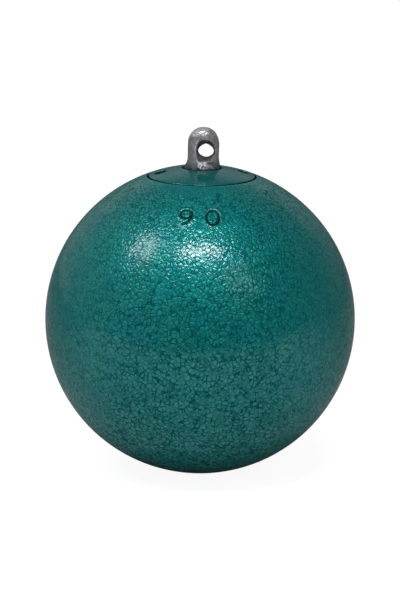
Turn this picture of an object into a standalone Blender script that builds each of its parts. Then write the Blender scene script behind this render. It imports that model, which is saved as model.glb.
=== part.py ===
"""The head of a throwing hammer: a painted iron ball that turns on a steel eye.

The eye's spindle passes down through a screwed cap and hangs the ball on a small
thrust bearing, held by a slotted nut and a split pin in a stepped socket.
Heights are measured from the ball's centre. The world's origin lies on the swivel
axis, level with the hole in the eye.
"""

import math

import bmesh
import bpy
from mathutils import Matrix, Vector

MM = 0.001

# Ball and its painted cap
HEAD_RADIUS = 45.0 * MM
CAP_GROOVE = 0.5 * MM  # open width of the groove round the cap
CAP_RIM = 3.4 * MM  # thickness of the cap's flange at its edge
CAP_FLANGE = 1.85 * MM  # how far the flange stands out past the thread
CAP_THREAD_STEP = 1.1 * MM  # from the bearing's seat out to the thread
CAP_THREAD_LENGTH = 8.6 * MM
CAP_EDGE = 0.3 * MM
CAP_TURN = math.radians(5.7)  # where the cap came to rest when it was screwed home
THREAD_RUNOUT = 1.0 * MM
SPANNER_HOLE_RADIUS = 1.8 * MM
SPANNER_HOLE_INSET = 3.4 * MM  # from the cap's edge to the middle of the hole
SPANNER_HOLE_DEPTH = 3.5 * MM
DRILL_POINT = math.radians(59)  # half angle of the drill that made the blind holes

# Spindle, worked outwards from the shank that carries the bearing
SHANK_RADIUS = 4.7 * MM
JOURNAL_SHOULDER = 0.8 * MM  # the journal in the cap's bush is thicker by this
SHOULDER_RISE = 0.3 * MM  # from the cap's underside up to the end of the journal
FOOT_FLARE = 0.95 * MM  # from the eye's side out to the journal
FOOT_HEIGHT = 3.0 * MM
THREAD_STEP = 0.7 * MM  # from the shank in to the thread
THREAD_PAST_NUT = 1.0 * MM
SPINDLE_CHAMFER = 0.4 * MM

# Eye
EYE_HEIGHT = 11.3 * MM  # from the top of the ball to the top of the eye
EYE_OFFSET = 0.4 * MM  # the forged eye stands a little to one side of its spindle
WIRE_HOLE_HEIGHT = 4.6 * MM  # from the top of the ball
WIRE_HOLE_RADIUS = 2.22 * MM
WIRE_HOLE_OFFSET = 0.7 * MM  # from the middle of the eye
WIRE_HOLE_LAND = 3.6 * MM  # straight length between the two countersinks
COUNTERSINK = math.radians(33)  # half angle

# Bush and seal in the cap
BUSH_WALL = 1.6 * MM
SEAL_SECTION = 0.75 * MM  # radius of the ring's round section
SEAL_DEPTH = 1.9 * MM  # from the cap's surface to the seal's groove
SEAL_LEDGE = 0.6 * MM  # metal between the seal's groove and the bush

# Thrust bearing
RACE_BALL_RADIUS = 2.38 * MM
RACE_THICKNESS = 2.6 * MM
RACE_DEPTH = 0.48 * MM  # how far a ball sinks below the face of its washer
RACE_RIM = 0.1 * MM  # how far the upper washer stands out past the cage
RACE_CHAMFER = 0.4 * MM
HOUSING_BORE_STEP = 0.5 * MM  # the upper washer's bore is wider, to clear the shank
SHAFT_WASHER_STEP = 0.3 * MM  # the lower washer is smaller, to clear the ball
CAGE_THICKNESS = 2.4 * MM
CAGE_WALL = 0.77 * MM  # metal inside and outside the ring of pockets
CAGE_LAND = 0.6 * MM  # least metal between two pockets
POCKET_GAP = 0.25 * MM
CAGE_GAP = 0.4 * MM

# Nut, washer and split pin
NUT_ACROSS_FLATS = 13.0 * MM
NUT_HEIGHT = 9.5 * MM
NUT_SLOT_DEPTH = 3.0 * MM
NUT_CHAMFER = math.radians(30)
NUT_WASHER_RADIUS = 8.0 * MM
NUT_WASHER_THICKNESS = 1.6 * MM
PIN_RADIUS = 1.0 * MM
PIN_HOLE_GAP = 0.25 * MM
PIN_SLIT = 0.2 * MM  # gap between the pin's two half-round legs
PIN_EYE_RADIUS = 0.95 * MM  # inside the pin's own eye
PIN_EYE_SINK = 0.35 * MM  # how far that eye is driven into the nut's slot
PIN_BEND = 0.2 * MM  # inside radius where a leg is bent over
LONG_LEG = 3.2 * MM
SHORT_LEG = 0.9 * MM

# Clearances
SEAT_GAP = 0.3 * MM
RUNNING_GAP = 0.3 * MM
BEARING_SEAT_GAP = 0.4 * MM
CHAMBER_GAP = 0.75 * MM
CHAMBER_FLOOR_GAP = 2.0 * MM
CHAMBER_CHAMFER = 0.8 * MM
CHAMBER_POINT_RADIUS = 4.0 * MM

# Facets
BALL_STEPS = 60
UPPER_RINGS = 10
LOWER_RINGS = 13
DOME_STEPS = 5
EYE_DOME_STEPS = 7
FOOT_STEPS = 5
BEARING_STEPS = 36
RACE_STEPS = 6
RACE_BALL_STEPS = 14
RACE_BALL_RINGS = 8
SPINDLE_STEPS = 32
SEAL_STEPS = 8
HOLE_STEPS = 16
PIN_STEPS = 6


def height_on_ball(radius):
    return math.sqrt(HEAD_RADIUS**2 - radius**2)


# Radii, from the shank outwards
bearing_bore = SHANK_RADIUS + SEAT_GAP
housing_bore = bearing_bore + HOUSING_BORE_STEP
journal_radius = SHANK_RADIUS + JOURNAL_SHOULDER
journal_bore = journal_radius + RUNNING_GAP
eye_radius = journal_radius - FOOT_FLARE
thread_radius = SHANK_RADIUS - THREAD_STEP
nut_bore = thread_radius + SEAT_GAP
bush_radius = journal_bore + BUSH_WALL
seal_radius = journal_bore + SEAL_SECTION
seal_groove_radius = seal_radius + SEAL_SECTION + RUNNING_GAP
pocket_radius = RACE_BALL_RADIUS + POCKET_GAP
cage_inside = SHANK_RADIUS + CAGE_GAP
pitch_radius = cage_inside + CAGE_WALL + pocket_radius
cage_outside = pitch_radius + pocket_radius + CAGE_WALL
bearing_radius = cage_outside + RACE_RIM
seat_radius = bearing_radius + BEARING_SEAT_GAP
cap_thread_radius = seat_radius + CAP_THREAD_STEP
cap_radius = cap_thread_radius + CAP_FLANGE
mouth_radius = cap_radius + CAP_GROOVE
spanner_hole_pitch = cap_radius - SPANNER_HOLE_INSET
nut_flat = NUT_ACROSS_FLATS / 2
leg_thickness = PIN_RADIUS - PIN_SLIT / 2
pin_eye_outside = PIN_EYE_RADIUS + leg_thickness
pin_eye_centre = nut_flat + pin_eye_outside - PIN_EYE_SINK
pin_reach = pin_eye_centre + pin_eye_outside
chamber_radius = max(pin_reach, NUT_WASHER_RADIUS) + CHAMBER_GAP

# Heights above the ball's centre, from the eye down
eye_top = HEAD_RADIUS + EYE_HEIGHT
wire_hole_level = HEAD_RADIUS + WIRE_HOLE_HEIGHT
foot_level = height_on_ball(journal_radius)
seal_groove_top = height_on_ball(journal_bore) - SEAL_DEPTH
seal_level = seal_groove_top - RUNNING_GAP - SEAL_SECTION
seal_groove_bottom = seal_level - SEAL_SECTION - RUNNING_GAP
bush_top = seal_groove_bottom - SEAL_LEDGE - SEAT_GAP
flange_seat = height_on_ball(cap_radius) - CAP_RIM
cap_underside = flange_seat - CAP_THREAD_LENGTH
journal_end = cap_underside + SHOULDER_RISE
housing_top = cap_underside - SEAT_GAP
housing_face = housing_top - RACE_THICKNESS
ball_level = housing_face - RACE_BALL_RADIUS + RACE_DEPTH
shaft_face = 2 * ball_level - housing_face
bearing_underside = shaft_face - RACE_THICKNESS
bearing_ledge = bearing_underside - SEAT_GAP
nut_washer_bottom = bearing_ledge - NUT_WASHER_THICKNESS
nut_top = nut_washer_bottom - SEAT_GAP
nut_bottom = nut_top - NUT_HEIGHT
pin_level = nut_bottom + NUT_SLOT_DEPTH - SEAT_GAP - PIN_RADIUS
spindle_end = nut_bottom - THREAD_PAST_NUT
chamber_floor = spindle_end - CHAMBER_FLOOR_GAP
ball_count = int(math.tau * pitch_radius / (2 * pocket_radius + CAGE_LAND))


def clear_scene():
    for old in list(bpy.data.objects):
        bpy.data.objects.remove(old, do_unlink=True)


def collection(name):
    made = bpy.data.collections.new(name)
    bpy.context.scene.collection.children.link(made)
    return made


def finish(name, colour, roughness, metallic):
    made = bpy.data.materials.new(name)
    made.use_nodes = True
    shader = made.node_tree.nodes["Principled BSDF"]
    shader.inputs["Base Color"].default_value = (*colour, 1)
    shader.inputs["Roughness"].default_value = roughness
    shader.inputs["Metallic"].default_value = metallic
    return made


def new_object(name, data, group, material=None, parent=None):
    made = bpy.data.objects.new(name, data)
    group.objects.link(made)
    made.parent = parent
    if material:
        made.data.materials.append(material)
    return made


def keep_result(piece):
    """Replaces a piece's mesh with what its modifiers make of it."""
    bpy.context.view_layer.update()
    seen = piece.evaluated_get(bpy.context.evaluated_depsgraph_get())
    mesh = bpy.data.meshes.new_from_object(seen)
    piece.modifiers.clear()
    piece.data = mesh
    mesh.shade_smooth()
    mesh.set_sharp_from_angle(angle=math.radians(30))
    return piece


def arc(centre, radius, start, end, steps):
    """Points (radius, height) on a circle, from one angle to another, in degrees."""
    turns = [math.radians(start + (end - start) * i / steps) for i in range(steps + 1)]
    return [
        (centre[0] + radius * math.cos(t), centre[1] + radius * math.sin(t))
        for t in turns
    ]


def eased(corners):
    """Cuts each corner (radius, height, cut) back by its own chamfer."""
    points = []
    for i, (radius, height, cut) in enumerate(corners):
        here = Vector((radius, height))
        if not cut:
            points.append(tuple(here))
            continue
        for other in (corners[i - 1], corners[(i + 1) % len(corners)]):
            along = (Vector(other[:2]) - here).normalized()
            points.append(tuple(here + along * cut))
    return points


def turned(name, profile, steps, group, material=None, parent=None, ring=False):
    """Turns a profile about the vertical axis; it runs down the piece's outer side."""
    mesh = bpy.data.meshes.new(name)
    count = len(profile)
    edges = [(i, (i + 1) % count) for i in range(count if ring else count - 1)]
    mesh.from_pydata([(r, 0, z) for r, z in profile], edges, [])
    made = new_object(name, mesh, group, material, parent)
    screw = made.modifiers.new("Turn", "SCREW")
    screw.steps = screw.render_steps = steps
    screw.use_merge_vertices = True
    screw.merge_threshold = 0.00001
    return keep_result(made)


def from_bmesh(name, shape, group, material=None, parent=None):
    mesh = bpy.data.meshes.new(name)
    shape.to_mesh(mesh)
    shape.free()
    return keep_result(new_object(name, mesh, group, material, parent))


def combine(piece, cutter, operation="DIFFERENCE"):
    cutter.hide_render = True
    cutter.display_type = "WIRE"
    cut = piece.modifiers.new(cutter.name, "BOOLEAN")
    cut.operation = operation
    cut.solver = "EXACT"
    cut.object = cutter
    keep_result(piece)


def drill(name, radius, low, high, steps, cutters, swivel):
    """A plain round cutter on the vertical axis."""
    profile = [(0, high), (radius, high), (radius, low), (0, low)]
    return turned(name, profile, steps, cutters, parent=swivel)


def head_casting(group, iron, swivel):
    """The solid ball with its stepped socket, bored out from the top."""
    mouth_angle = math.degrees(math.acos((mouth_radius + CAP_EDGE) / HEAD_RADIUS))
    point_depth = CHAMBER_POINT_RADIUS / math.tan(DRILL_POINT)
    thread_bore = cap_thread_radius + SEAT_GAP
    profile = [
        (0, chamber_floor - point_depth),
        (CHAMBER_POINT_RADIUS, chamber_floor),
        (chamber_radius - CHAMBER_CHAMFER, chamber_floor),
        (chamber_radius, chamber_floor + CHAMBER_CHAMFER),
        (chamber_radius, bearing_ledge),
        (seat_radius, bearing_ledge),
        (seat_radius, cap_underside - THREAD_RUNOUT),
        (thread_bore, cap_underside - THREAD_RUNOUT),
        (thread_bore, flange_seat - SEAT_GAP),
        (mouth_radius, flange_seat - SEAT_GAP),
        (mouth_radius, height_on_ball(mouth_radius) - CAP_EDGE),
    ]
    profile += arc((0, 0), HEAD_RADIUS, mouth_angle, 0, UPPER_RINGS)
    profile += arc((0, 0), HEAD_RADIUS, 0, -90, LOWER_RINGS)[1:-1]
    profile.append((0, -HEAD_RADIUS))
    return turned("head_casting", profile, BALL_STEPS, group, iron, swivel)


def bearing_cap(group, cutters, iron, swivel):
    """The screwed cap, whose dome carries on the ball and whose bore holds the bush."""
    first = math.degrees(math.acos(journal_bore / HEAD_RADIUS))
    last = math.degrees(math.acos((cap_radius - CAP_EDGE) / HEAD_RADIUS))
    bush_seat = bush_radius + SEAT_GAP
    profile = arc((0, 0), HEAD_RADIUS, first, last, DOME_STEPS)
    profile += [
        (cap_radius, height_on_ball(cap_radius) - CAP_EDGE),
        (cap_radius, flange_seat),
        (cap_thread_radius, flange_seat),
        (cap_thread_radius, cap_underside + CAP_EDGE),
        (cap_thread_radius - CAP_EDGE, cap_underside),
        (bush_seat, cap_underside),
        (bush_seat, bush_top + SEAT_GAP),
        (journal_bore, bush_top + SEAT_GAP),
        (journal_bore, seal_groove_bottom),
        (seal_groove_radius, seal_groove_bottom),
        (seal_groove_radius, seal_groove_top),
        (journal_bore, seal_groove_top),
    ]
    cap = turned("bearing_cap", profile, BALL_STEPS, group, iron, swivel, ring=True)
    for side in (-1, 1):
        combine(cap, spanner_hole(side, cutters, swivel))
    return cap


def spanner_hole(side, cutters, swivel):
    """A blind drilled hole for one peg of the spanner that screws the cap home."""
    surface = height_on_ball(spanner_hole_pitch)
    floor = surface - SPANNER_HOLE_DEPTH
    profile = [
        (0, surface + SPANNER_HOLE_RADIUS),
        (SPANNER_HOLE_RADIUS, surface + SPANNER_HOLE_RADIUS),
        (SPANNER_HOLE_RADIUS, floor),
        (0, floor - SPANNER_HOLE_RADIUS / math.tan(DRILL_POINT)),
    ]
    cutter = turned("spanner_hole", profile, HOLE_STEPS, cutters, parent=swivel)
    turn = Matrix.Rotation(CAP_TURN, 3, "Z")
    cutter.location = turn @ Vector((side * spanner_hole_pitch, 0, 0))
    return cutter


def spindle_bush(group, bronze, swivel):
    profile = eased(
        [
            (journal_bore, bush_top, CAP_EDGE),
            (bush_radius, bush_top, CAP_EDGE),
            (bush_radius, cap_underside, CAP_EDGE),
            (journal_bore, cap_underside, CAP_EDGE),
        ]
    )
    return turned("spindle_bush", profile, SPINDLE_STEPS, group, bronze, swivel, ring=True)


def dust_seal(group, rubber, swivel):
    around = arc((seal_radius, seal_level), SEAL_SECTION, 90, -270, SEAL_STEPS)
    return turned("dust_seal", around[:-1], SPINDLE_STEPS, group, rubber, swivel, ring=True)


def race_groove(face):
    """The raceway in a washer's face, as points from its outer lip to its inner one."""
    groove = RACE_BALL_RADIUS + SEAT_GAP
    side = math.copysign(1, face - ball_level)
    lip = math.degrees(math.asin(abs(face - ball_level) / groove))
    centre = (pitch_radius, ball_level)
    return arc(centre, groove, side * lip, side * (180 - lip), RACE_STEPS)


def housing_washer(group, steel, swivel):
    """The upper race, which stays with the ball."""
    outline = eased(
        [
            (housing_bore, housing_face, 0),
            (housing_bore, housing_top, RACE_CHAMFER),
            (bearing_radius, housing_top, RACE_CHAMFER),
            (bearing_radius, housing_face, 0),
        ]
    )
    profile = outline + race_groove(housing_face)
    return turned("housing_washer", profile, BEARING_STEPS, group, steel, swivel, ring=True)


def shaft_washer(group, steel, swivel):
    """The lower race, which hangs on the nut and stays with the spindle."""
    outside = bearing_radius - SHAFT_WASHER_STEP
    outline = eased(
        [
            (outside, shaft_face, 0),
            (outside, bearing_underside, RACE_CHAMFER),
            (bearing_bore, bearing_underside, RACE_CHAMFER),
            (bearing_bore, shaft_face, 0),
        ]
    )
    profile = outline + race_groove(shaft_face)[::-1]
    return turned("shaft_washer", profile, BEARING_STEPS, group, steel, swivel, ring=True)


def around_pitch(number):
    """Where a ball lies on the bearing's pitch circle."""
    turn = Matrix.Rotation(math.tau * number / ball_count, 3, "Z")
    return turn @ Vector((pitch_radius, 0, ball_level))


def ball_cage(group, cutters, brass, swivel):
    """A drilled ring that keeps the balls apart."""
    half = CAGE_THICKNESS / 2
    profile = [
        (cage_inside, ball_level + half),
        (cage_outside, ball_level + half),
        (cage_outside, ball_level - half),
        (cage_inside, ball_level - half),
    ]
    cage = turned("ball_cage", profile, BEARING_STEPS, group, brass, swivel, ring=True)
    pockets = bmesh.new()
    for number in range(ball_count):
        bmesh.ops.create_cone(
            pockets,
            cap_ends=True,
            segments=HOLE_STEPS,
            radius1=pocket_radius,
            radius2=pocket_radius,
            depth=2 * CAGE_THICKNESS,
            matrix=Matrix.Translation(around_pitch(number)),
        )
    combine(cage, from_bmesh("cage_pockets", pockets, cutters, parent=swivel))
    return cage


def bearing_balls(group, steel, swivel):
    """Each ball's poles lie on its own rolling axis, which points out from the spindle."""
    shape = bmesh.new()
    bmesh.ops.create_uvsphere(
        shape,
        u_segments=RACE_BALL_STEPS,
        v_segments=RACE_BALL_RINGS,
        radius=RACE_BALL_RADIUS,
        matrix=Matrix.Rotation(math.pi / 2, 4, "Y"),
    )
    first = from_bmesh("bearing_ball_01", shape, group, steel, swivel)
    balls = [first] + [
        new_object(f"bearing_ball_{number:02d}", first.data, group, parent=swivel)
        for number in range(2, ball_count + 1)
    ]
    for number, ball in enumerate(balls):
        ball.location = around_pitch(number)
        ball.rotation_euler.z = math.tau * number / ball_count
    return balls


def nut_washer(group, steel, swivel):
    profile = eased(
        [
            (nut_bore, bearing_ledge, 0),
            (NUT_WASHER_RADIUS, bearing_ledge, 0),
            (NUT_WASHER_RADIUS, nut_washer_bottom, CAP_EDGE),
            (nut_bore, nut_washer_bottom, 0),
        ]
    )
    return turned("nut_washer", profile, SPINDLE_STEPS, group, steel, swivel, ring=True)


def slotted_nut(group, cutters, steel, swivel):
    """A hexagon nut with slots across its lower end for the split pin."""
    corner = NUT_ACROSS_FLATS / math.sqrt(3)
    hexagon = bmesh.new()
    bmesh.ops.create_cone(
        hexagon,
        cap_ends=True,
        segments=6,
        radius1=corner,
        radius2=corner,
        depth=NUT_HEIGHT,
        matrix=Matrix.Translation((0, 0, (nut_top + nut_bottom) / 2)),
    )
    nut = from_bmesh("slotted_nut", hexagon, group, steel, swivel)
    combine(nut, nut_chamfer(corner, cutters, swivel), "INTERSECT")
    past_nut = NUT_HEIGHT / 2
    high, low = nut_top + past_nut, nut_bottom - past_nut
    combine(nut, drill("nut_bore", nut_bore, low, high, SPINDLE_STEPS, cutters, swivel))
    slot_width = 2 * (PIN_RADIUS + PIN_HOLE_GAP)
    tall = NUT_SLOT_DEPTH + past_nut
    for number in range(3):
        slot = bmesh.new()
        size = Matrix.Diagonal((4 * corner, slot_width, tall, 1))
        lift = Matrix.Translation((0, 0, nut_bottom + NUT_SLOT_DEPTH - tall / 2))
        turn = Matrix.Rotation(math.pi * number / 3, 4, "Z")
        bmesh.ops.create_cube(slot, size=1, matrix=turn @ lift @ size)
        combine(nut, from_bmesh("nut_slot", slot, cutters, parent=swivel))
    return nut


def nut_chamfer(corner, cutters, swivel):
    """A double cone that turns the nut's corners off at both ends."""
    slope = math.tan(NUT_CHAMFER)
    wide = 2 * corner - nut_flat
    profile = [
        (0, nut_top + nut_flat * slope),
        (wide, nut_top - (wide - nut_flat) * slope),
        (wide, nut_bottom + (wide - nut_flat) * slope),
        (0, nut_bottom - nut_flat * slope),
    ]
    return turned("nut_chamfer", profile, SPINDLE_STEPS, cutters, parent=swivel)


def pin_outline():
    """The split pin's slit and eye in one line, from the long leg's tip to the other's."""
    slit = PIN_SLIT / 2
    bend = leg_thickness + PIN_BEND
    start = nut_flat + SEAT_GAP - PIN_BEND
    long_leg = [(start + bend, slit + bend + LONG_LEG)]
    long_leg += arc((start, slit + bend), bend, 0, -90, PIN_STEPS)
    short_leg = arc((start, -slit - bend), bend, 90, 0, PIN_STEPS)
    short_leg.append((start + bend, -slit - bend - SHORT_LEG))

    # The slit swells smoothly into the eye over the eye's own width
    swell = []
    for step in range(PIN_STEPS):
        along = step / PIN_STEPS
        rise = along * along * (3 - 2 * along)
        out = pin_eye_outside * (1 - along)
        swell.append((out - pin_eye_centre, slit + (PIN_EYE_RADIUS - slit) * rise))
    eye = arc((-pin_eye_centre, 0), PIN_EYE_RADIUS, 90, 270, PIN_STEPS + 2)
    back = [(x, -z) for x, z in reversed(swell)]
    return long_leg + swell + eye + back + short_leg


def poly_curve(name, points, group, parent, closed=False):
    data = bpy.data.curves.new(name, "CURVE")
    data.dimensions = "2D"
    data.fill_mode = "NONE"
    spline = data.splines.new("POLY")
    spline.points.add(len(points) - 1)
    for point, (x, y) in zip(spline.points, points):
        point.co = (x, y, 0, 1)
    spline.use_cyclic_u = closed
    return new_object(name, data, group, parent=parent)


def split_pin(group, cutters, steel, swivel):
    """Half-round wire, doubled back through the slots and spread at its ends."""
    half_round = arc((0, 0), leg_thickness, 90, -90, PIN_STEPS)
    section = poly_curve("pin_section", half_round, cutters, swivel, closed=True)
    section.hide_render = True
    section.display_type = "WIRE"
    pin = poly_curve("split_pin", pin_outline(), group, swivel)
    pin.data.bevel_mode = "OBJECT"
    pin.data.bevel_object = section
    pin.data.use_fill_caps = True
    pin.data.materials.append(steel)
    pin.location = (0, 0, pin_level)
    pin.rotation_euler.x = math.pi / 2
    return pin


def eye_spindle(group, cutters, steel, swivel):
    """The forged eye, its flared foot and the turned spindle below, in one piece."""
    dome = arc((0, eye_top - eye_radius), eye_radius, 90, 0, EYE_DOME_STEPS)
    profile = [(0, eye_top)] + dome[1:]
    for step in range(FOOT_STEPS + 1):
        turn = math.pi / 2 * step / FOOT_STEPS
        out = FOOT_FLARE * (1 - math.cos(turn))
        up = FOOT_HEIGHT * (1 - math.sin(turn))
        profile.append((eye_radius + out, foot_level + up))
    profile += eased(
        [
            (journal_radius, foot_level, 0),
            (journal_radius, journal_end, SPINDLE_CHAMFER),
            (SHANK_RADIUS, journal_end, 0),
            (SHANK_RADIUS, bearing_ledge, 0),
            (thread_radius, bearing_ledge, 0),
            (thread_radius, spindle_end, SPINDLE_CHAMFER),
            (0, spindle_end, 0),
        ]
    )[1:]
    spindle = turned("eye_spindle", profile, SPINDLE_STEPS, group, steel, swivel)
    for vertex in spindle.data.vertices:
        up = min(max((vertex.co.z - foot_level) / FOOT_HEIGHT, 0), 1)
        vertex.co.x += EYE_OFFSET * up * up * (3 - 2 * up)
    combine(spindle, wire_hole(cutters, swivel))
    pin_bore = PIN_RADIUS + PIN_HOLE_GAP
    reach = 2 * thread_radius
    cross = drill("pin_hole", pin_bore, -reach, reach, HOLE_STEPS, cutters, swivel)
    cross.location = (0, 0, pin_level)
    cross.rotation_euler.y = math.pi / 2
    combine(spindle, cross)
    return spindle


def wire_hole(cutters, swivel):
    """The eye's cross hole, countersunk from front and back so that no edge cuts the wire."""
    half_land = WIRE_HOLE_LAND / 2
    reach = 2 * eye_radius
    mouth = WIRE_HOLE_RADIUS + (reach - half_land) * math.tan(COUNTERSINK)
    profile = [
        (0, reach),
        (mouth, reach),
        (WIRE_HOLE_RADIUS, half_land),
        (WIRE_HOLE_RADIUS, -half_land),
        (mouth, -reach),
        (0, -reach),
    ]
    cutter = turned("wire_hole", profile, SPINDLE_STEPS, cutters, parent=swivel)
    cutter.location = (EYE_OFFSET + WIRE_HOLE_OFFSET, 0, wire_hole_level)
    cutter.rotation_euler.x = math.pi / 2
    return cutter


def build():
    clear_scene()
    group = collection("throwing_hammer_head")
    cutters = collection("cutters")
    swivel = new_object("swivel_axis", None, cutters)
    swivel.location = (0, 0, -wire_hole_level)

    paint = finish("teal_hammer_paint", (0.012, 0.125, 0.12), 0.35, 0.2)
    forged = finish("bare_forged_steel", (0.16, 0.15, 0.155), 0.45, 0.9)
    race = finish("ground_steel", (0.55, 0.55, 0.56), 0.2, 1.0)
    zinc = finish("zinc_plated_steel", (0.42, 0.43, 0.44), 0.35, 0.9)
    bronze = finish("bush_bronze", (0.45, 0.26, 0.09), 0.4, 0.9)
    brass = finish("cage_brass", (0.6, 0.42, 0.13), 0.35, 0.9)
    rubber = finish("black_rubber", (0.012, 0.012, 0.012), 0.7, 0.0)

    head_casting(group, paint, swivel)
    bearing_cap(group, cutters, paint, swivel)
    spindle_bush(group, bronze, swivel)
    dust_seal(group, rubber, swivel)
    housing_washer(group, race, swivel)
    shaft_washer(group, race, swivel)
    ball_cage(group, cutters, brass, swivel)
    bearing_balls(group, race, swivel)
    nut_washer(group, zinc, swivel)
    slotted_nut(group, cutters, zinc, swivel)
    split_pin(group, cutters, zinc, swivel)
    eye_spindle(group, cutters, forged, swivel)


build()
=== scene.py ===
# %% [markdown]
# # The head of a throwing hammer
#
# The real object is an iron ball in teal hammered paint. A screwed cap sits flush in its top, and
# a bare steel eye comes up through the cap and turns in a bearing below it. This lesson dresses
# the finished construction: it keeps every size and place, and makes the surfaces.
#
# The construction is loaded first, as a fixed frame. It could be traced or measured again by eye,
# but reading it keeps the visual pieces exactly where the working ones are.

# %% Load the construction as a fixed frame
from collections import Counter
from functools import partial, reduce
from math import acos, asin, atan2, copysign, cos, hypot, pi, radians, sin, sqrt, tan, tau

import bmesh
import bpy
import numpy as np
from mathutils import Matrix, Vector, geometry, noise


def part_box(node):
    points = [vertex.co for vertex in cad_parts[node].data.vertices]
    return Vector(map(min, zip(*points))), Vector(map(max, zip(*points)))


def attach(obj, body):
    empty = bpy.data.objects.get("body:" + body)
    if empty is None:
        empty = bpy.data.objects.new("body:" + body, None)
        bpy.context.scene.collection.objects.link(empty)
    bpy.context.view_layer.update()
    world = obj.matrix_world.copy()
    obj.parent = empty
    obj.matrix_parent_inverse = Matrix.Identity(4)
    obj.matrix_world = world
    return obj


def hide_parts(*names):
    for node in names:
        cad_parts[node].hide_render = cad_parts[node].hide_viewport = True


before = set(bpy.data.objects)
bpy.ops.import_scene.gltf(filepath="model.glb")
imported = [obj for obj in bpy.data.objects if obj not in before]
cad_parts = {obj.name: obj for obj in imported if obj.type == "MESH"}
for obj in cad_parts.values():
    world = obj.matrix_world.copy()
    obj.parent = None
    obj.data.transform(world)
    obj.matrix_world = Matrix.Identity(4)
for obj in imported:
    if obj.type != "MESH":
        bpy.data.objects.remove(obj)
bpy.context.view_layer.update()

MM = 0.001

# %% [markdown]
# A turned piece is a set of rings round one axis, so its profile can be read back from its own
# corners: each ring is a radius and a height that many corners share. That is safer than typing
# the sizes again, because the visual piece then follows the construction if a size changes.

# %% Read the turned profiles back from the frame
FULL_RING = {"head_casting": 40, "bearing_cap": 40, "eye_spindle": 150}  # fewest corners of a ring
SKIN_MARGIN = 0.2 * MM  # rings nearer to the ball's surface than this belong to that surface
ball_low, ball_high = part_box("head_casting")
RADIUS = (ball_high.x - ball_low.x) / 2
CENTRE = Vector((0, 0, ball_low.z + RADIUS))


def rings(name):
    """Each (radius, height) that many corners of a node share, from the top down."""
    places = [vertex.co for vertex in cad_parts[name].data.vertices]
    found = Counter((round(place.xy.length, 5), round(place.z, 5)) for place in places)
    shared = [ring for ring, corners in found.items() if corners >= FULL_RING[name]]
    return sorted(shared, key=lambda ring: (-ring[1], -ring[0]))


def inner_rings(name):
    return [(r, z) for r, z in rings(name) if hypot(r, z - CENTRE.z) < RADIUS - SKIN_MARGIN]


def on_ball(radius):
    """The height of the ball's surface at this distance from the swivel axis."""
    return CENTRE.z + sqrt(RADIUS**2 - radius**2)


socket = inner_rings("head_casting")
mouth_radius = socket[0][0]
cap_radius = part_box("bearing_cap")[1].x
print("ball radius:", round(RADIUS / MM, 2), "mouth:", round(mouth_radius / MM, 2))
print("socket rings:", len(socket), "cap radius:", round(cap_radius / MM, 2))

# %% [markdown]
# Most pieces here are made by carrying a profile round the axis. Blender's Screw modifier does
# that with equal steps. A small function is used instead, because the ball needs its steps close
# together where figures are stamped and wide elsewhere.

# %% Carry a profile round the axis
def around(count):
    """Equal steps round the whole turn."""
    return [tau * i / count for i in range(count)]


def at(radius, angle, height, shift=0.0):
    """A corner by its radius, angle and height, shifted to the right."""
    return (shift + radius * cos(angle), radius * sin(angle), height)


def bands(rows, count):
    """Faces between closed rows of corners, each row `count` corners long."""
    faces = []
    for row in range(rows - 1):
        for i in range(count):
            j = (i + 1) % count
            above, below = row * count, (row + 1) * count
            faces.append((above + i, below + i, below + j, above + j))
    return faces


def lathe(profile, angles):
    """Corners and faces of a profile of (radius, height) carried round the swivel axis."""
    return [at(r, a, z) for r, z in profile for a in angles], bands(len(profile), len(angles))


# %% [markdown]
# Every new piece gets the same last steps: corners that lie on each other become one, faces turn
# outwards, smooth shading stops at real edges, and the piece is told which body carries it. A
# piece that is painted outside and bare inside gets a second material, by a test on each face.

# %% Finish a mesh and hang it on its body
SHARP = radians(35)
WELD = 0.002 * MM


def welded(name, corners, faces):
    """A mesh with its doubled corners joined and its faces turned outwards."""
    shape = bmesh.new()
    made = [shape.verts.new(corner) for corner in corners]
    for face in faces:
        shape.faces.new([made[i] for i in face])
    bmesh.ops.remove_doubles(shape, verts=shape.verts, dist=WELD)
    bmesh.ops.recalc_face_normals(shape, faces=shape.faces)
    mesh = bpy.data.meshes.new(name)
    shape.to_mesh(mesh)
    shape.free()
    return mesh


def in_scene(name, data):
    """A new object that shows this mesh, lamp or camera."""
    made = bpy.data.objects.new(name, data)
    bpy.context.scene.collection.objects.link(made)
    return made


def piece(mesh, body, replaces, skin, core=None, is_core=None, sharp=SHARP):
    """Makes a mesh into a piece of the object, with its skin and perhaps a bare core."""
    mesh.shade_smooth()
    mesh.set_sharp_from_angle(angle=sharp)
    mesh.materials.append(skin)
    if core:
        mesh.materials.append(core)
        bare = [int(is_core(face.center)) for face in mesh.polygons]
        mesh.polygons.foreach_set("material_index", bare)
    result = in_scene(mesh.name, mesh)
    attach(result, body)
    if replaces:
        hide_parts(*replaces)
    print(mesh.name, "faces:", len(mesh.polygons))


# %% [markdown]
# Materials are built from Blender's own shader nodes. Pictures could be painted instead, but nodes
# stay sharp at any distance and need no flat map of the shape. A few short helpers keep the node
# code readable: they add a node, wire its sockets, do arithmetic, and stretch or mix the results.
# A socket knows the node tree it belongs to, so the tree has to be named only once.

# %% Add nodes and wire their sockets
def wire(socket, value):
    """Links a socket to another one, or sets it to a plain value."""
    if isinstance(value, bpy.types.NodeSocket):
        socket.id_data.links.new(value, socket)
    else:
        socket.default_value = value


def fill(node, **settings):
    """A setting with a small first letter is a choice of the node, any other is a socket."""
    for name, value in settings.items():
        if name[0].islower():
            setattr(node, name, value)
        else:
            wire(node.inputs[name.replace("_", " ")], value)
    return node


def add(tree, kind, **settings):
    return fill(tree.nodes.new("ShaderNode" + kind), **settings).outputs


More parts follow.
